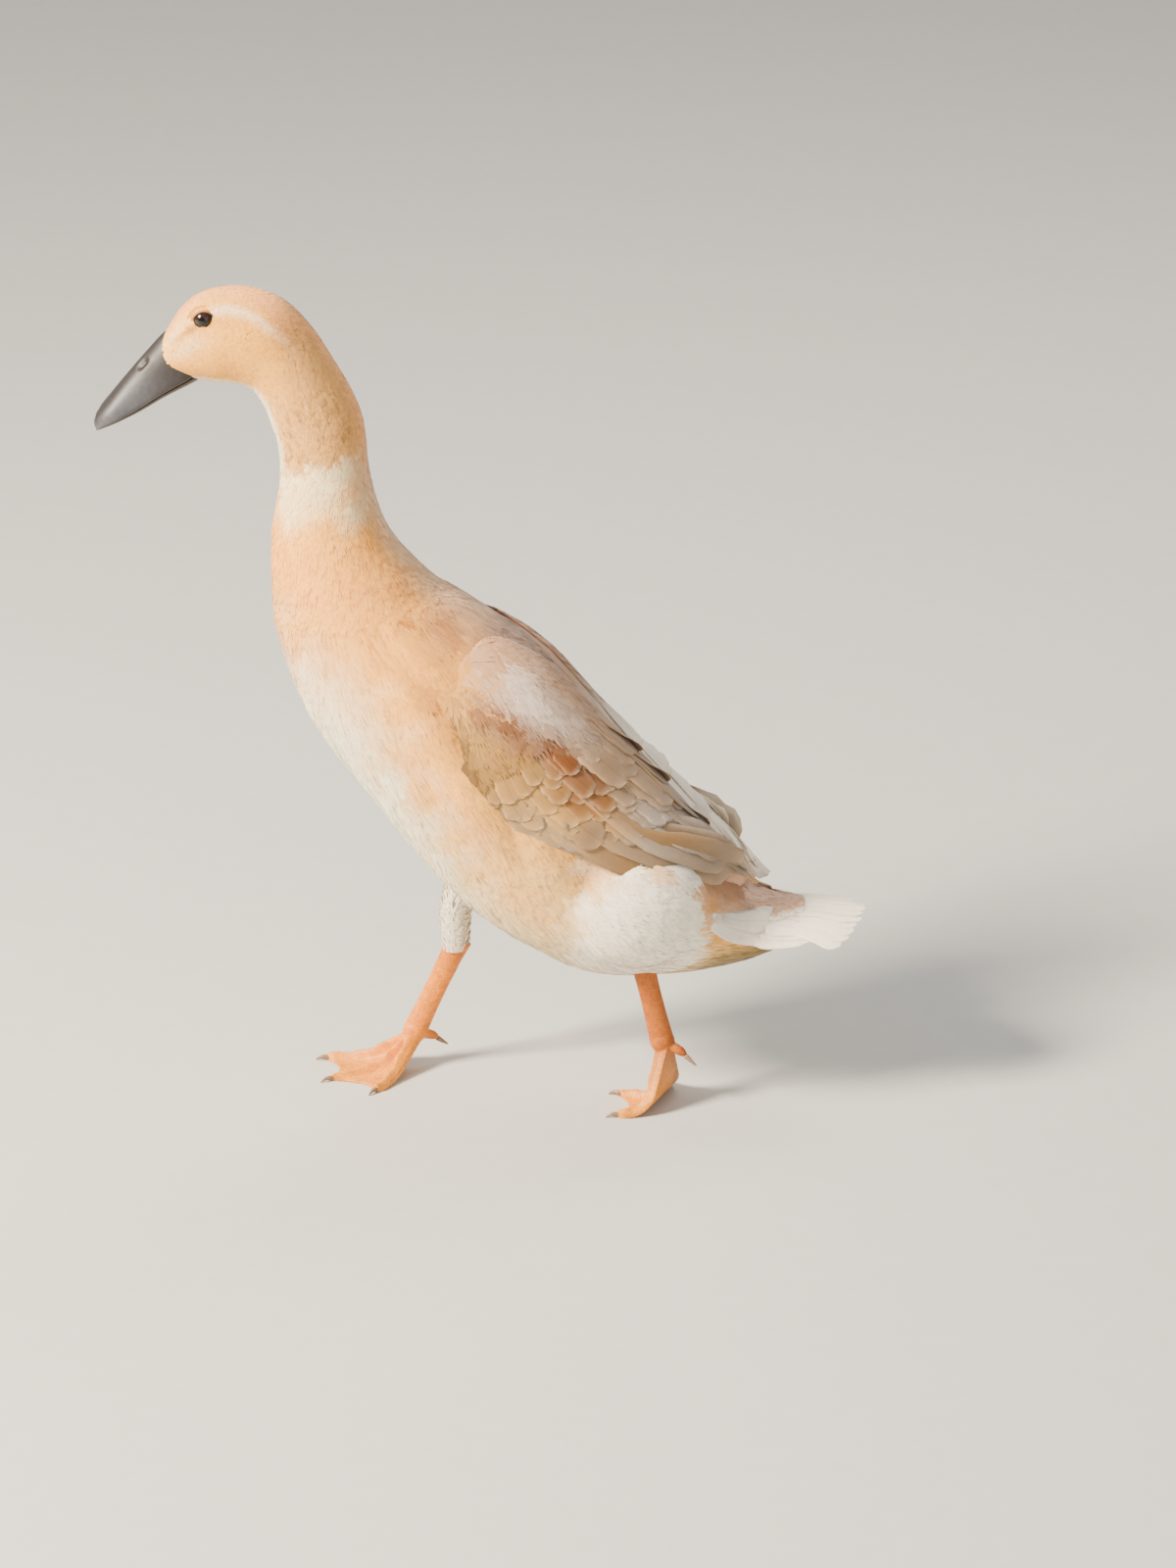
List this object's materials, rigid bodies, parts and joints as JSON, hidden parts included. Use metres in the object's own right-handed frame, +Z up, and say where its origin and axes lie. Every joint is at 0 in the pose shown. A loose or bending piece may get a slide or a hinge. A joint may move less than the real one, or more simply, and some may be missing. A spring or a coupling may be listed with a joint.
{
  "type": "indian runner duck",
  "caption": "Life-size still model of an indian runner duck in mid stride, upright long neck, slate bill, fawn and cream plumage, orange webbed feet.",
  "frame": {"origin": "middle of the outline seen from above, on the floor that both feet stand on", "axes": "+Z up, the duck faces -Y, its left side is towards +X"},
  "size_m": [0.1316, 0.4235, 0.4677],
  "materials": {
    "fawn_plumage": "short soft feathers, matt",
    "apricot_plumage": "soft feathers, matt",
    "buff_plumage": "soft feathers, matt",
    "wing_plumage": "firm smooth feathers, faint sheen",
    "white_plumage": "soft feathers, matt",
    "bill_horn": "slate grey horn, satin",
    "eye": "wet gloss, dark brown",
    "leg_skin": "scaled orange skin, satin",
    "claw_horn": "horn, satin"
  },
  "bodies": {
    "root": {"head": "fawn_plumage", "neck": "apricot_plumage", "trunk": "buff_plumage", "rump": "apricot_plumage", "tail": "white_plumage", "wing_left": "wing_plumage", "wing_right": "wing_plumage", "thigh_left": "white_plumage", "thigh_right": "white_plumage", "eye_left": "eye", "eye_right": "eye", "bill_upper": "bill_horn", "bill_lower": "bill_horn", "shank_left": "leg_skin", "shank_right": "leg_skin", "foot_left": "leg_skin", "foot_right": "leg_skin", "hind_toe_left": "leg_skin", "hind_toe_right": "leg_skin", "claw_left_inner": "claw_horn", "claw_left_middle": "claw_horn", "claw_left_outer": "claw_horn", "claw_left_hind": "claw_horn", "claw_right_inner": "claw_horn", "claw_right_middle": "claw_horn", "claw_right_outer": "claw_horn", "claw_right_hind": "claw_horn"}
  },
  "joints": []
}
